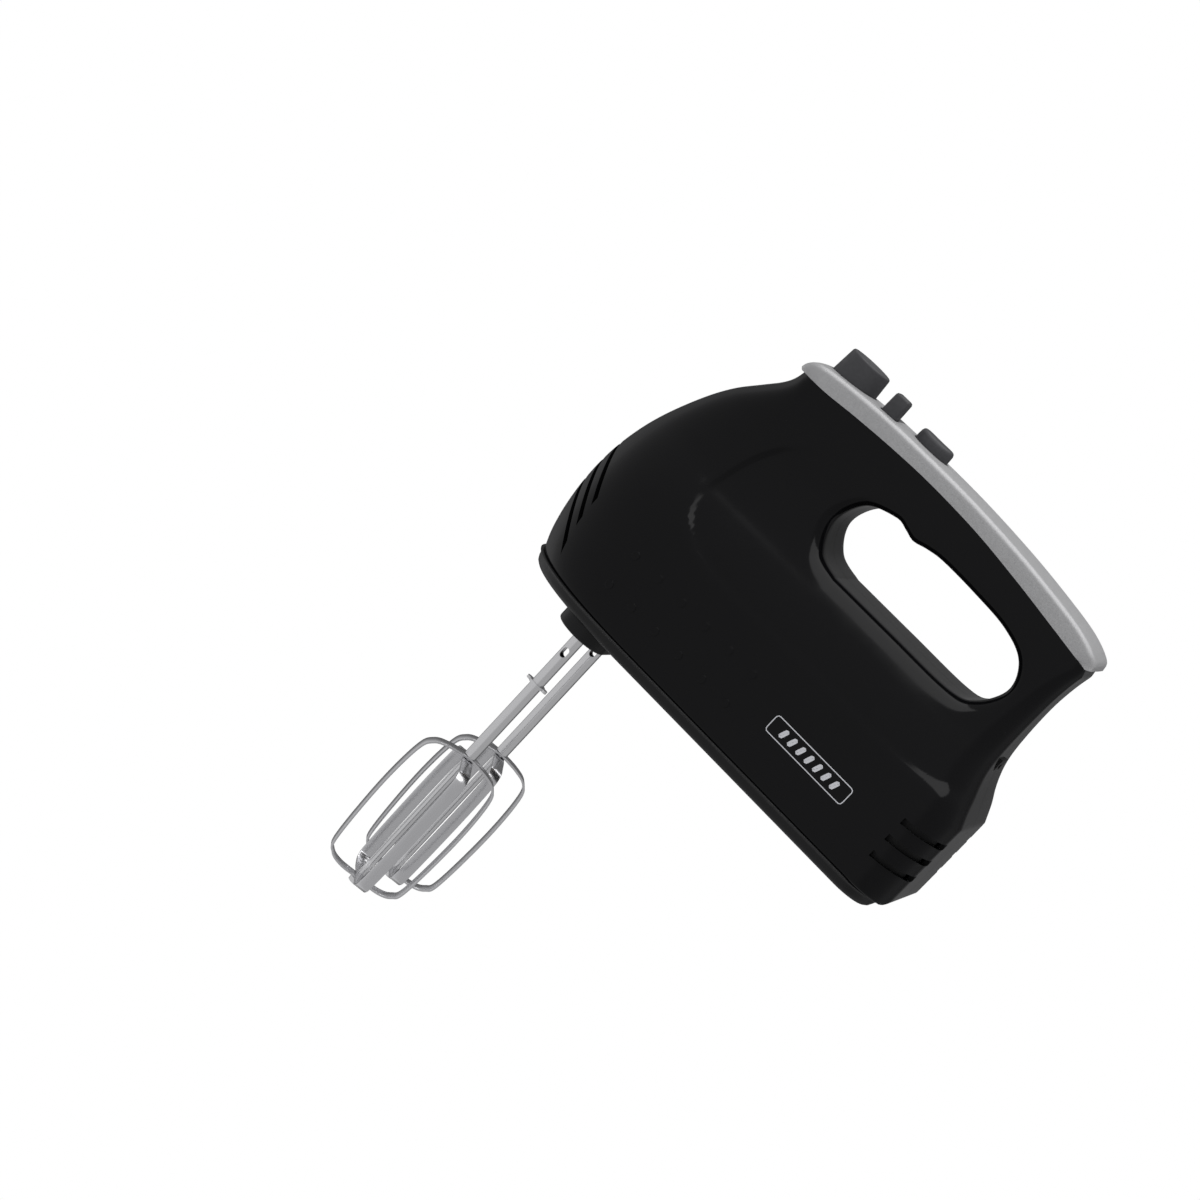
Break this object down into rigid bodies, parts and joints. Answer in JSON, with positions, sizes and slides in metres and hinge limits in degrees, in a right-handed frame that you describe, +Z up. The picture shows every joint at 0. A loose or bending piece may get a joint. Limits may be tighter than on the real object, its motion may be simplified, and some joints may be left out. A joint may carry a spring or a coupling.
{
  "type": "hand mixer",
  "caption": "Black hand mixer with a closed-loop handle, silver top strip, eject, speed and turbo controls and two removable wire beaters.",
  "frame": {"origin": "middle of the flat heel that the mixer stands on", "axes": "+Z up from the heel to the nose, +X from the base cover to the handle with the beaters pointing to -X, +Y to the mixer's right side"},
  "size_m": [0.2966, 0.08, 0.2067],
  "materials": {
    "housing_black": "high gloss black",
    "cover_silver": "satin silver paint with a fine grain",
    "control_grey": "matte dark grey",
    "switch_grey": "matte",
    "nylon_white": "moulded nylon",
    "fan_tan": "moulded phenolic",
    "bronze": "sintered bronze",
    "lamination": "stacked steel",
    "copper": "enamelled copper",
    "brass": "machined",
    "carbon": "pressed carbon",
    "capacitor_yellow": "moulded",
    "zinc_steel": "zinc plated",
    "stainless": "polished stainless"
  },
  "bodies": {
    "body": {"left_housing": "housing_black", "right_housing": "housing_black", "base_cover": "housing_black", "top_cover": "cover_silver", "housing_screws": "zinc_steel", "base_screws": "zinc_steel", "gearbox_frame": "nylon_white", "lower_bushes": "bronze", "upper_bushes": "bronze", "nose_bearing": "bronze", "front_bearing": "bronze", "rear_bearing": "bronze", "stator_core": "lamination", "field_coils": "copper", "motor_screws": "zinc_steel", "motor_rear_bracket": "lamination", "brush_holders": "brass", "carbon_brushes": "carbon", "brush_springs": "zinc_steel", "speed_switch": "switch_grey", "turbo_switch": "switch_grey", "capacitor": "capacitor_yellow", "cord_gland": "housing_black", "eject_spring": "zinc_steel", "turbo_spring": "zinc_steel"},
    "rotor": {"motor_shaft": "zinc_steel", "worm": "brass", "armature_core": "lamination", "armature_winding": "copper", "commutator": "copper", "cooling_fan": "fan_tan"},
    "left_drive": {"left_gear": "nylon_white", "left_spindle": "stainless"},
    "right_drive": {"right_gear": "nylon_white", "right_spindle": "stainless"},
    "left_beater": {"left_shaft": "stainless", "left_rod": "stainless", "left_outer_loop": "stainless", "left_inner_loop": "stainless", "left_collar": "stainless"},
    "right_beater": {"right_shaft": "stainless", "right_rod": "stainless", "right_outer_loop": "stainless", "right_inner_loop": "stainless"},
    "eject_button": {"eject_cap": "control_grey", "eject_yoke": "nylon_white"},
    "speed_slider": {"slider_tab": "control_grey"},
    "turbo_button": {"turbo_cap": "control_grey"}
  },
  "joints": [
    {"name": "motor_spin", "type": "hinge", "parent": "body", "child": "rotor", "pos_m": [0.002, 0, 0.1075], "axis": [0, 0, -1], "continuous": true},
    {"name": "left_spin", "type": "hinge", "parent": "body", "child": "left_drive", "pos_m": [-0.012, -0.019, 0.1621], "axis": [1, 0, 0], "continuous": true},
    {"name": "right_spin", "type": "hinge", "parent": "body", "child": "right_drive", "pos_m": [-0.012, 0.019, 0.1621], "axis": [1, 0, 0], "continuous": true},
    {"name": "eject_press", "type": "slide", "parent": "body", "child": "eject_button", "axis": [-1, 0, 0], "range_m": [0, 0.008], "stiffness_N_per_m": 300, "springref_m": -0.004, "deforming": ["eject_spring"]},
    {"name": "left_release", "type": "slide", "parent": "left_drive", "child": "left_beater", "axis": [-1, 0, 0], "range_m": [0, 0.008]},
    {"name": "right_release", "type": "slide", "parent": "right_drive", "child": "right_beater", "axis": [-1, 0, 0], "range_m": [0, 0.008]},
    {"name": "speed_slide", "type": "slide", "parent": "body", "child": "speed_slider", "axis": [0, 1, 0], "range_m": [0, 0.013]},
    {"name": "turbo_press", "type": "slide", "parent": "body", "child": "turbo_button", "axis": [-1, 0, 0], "range_m": [0, 0.003], "stiffness_N_per_m": 200, "springref_m": -0.003, "deforming": ["turbo_spring"]}
  ],
  "couplings": [
    {"joint": "left_spin", "follows": "motor_spin", "ratio": 0.041667},
    {"joint": "right_spin", "follows": "motor_spin", "ratio": -0.041667},
    {"joint": "left_release", "follows": "eject_press", "ratio": 1},
    {"joint": "right_release", "follows": "eject_press", "ratio": 1}
  ]
}
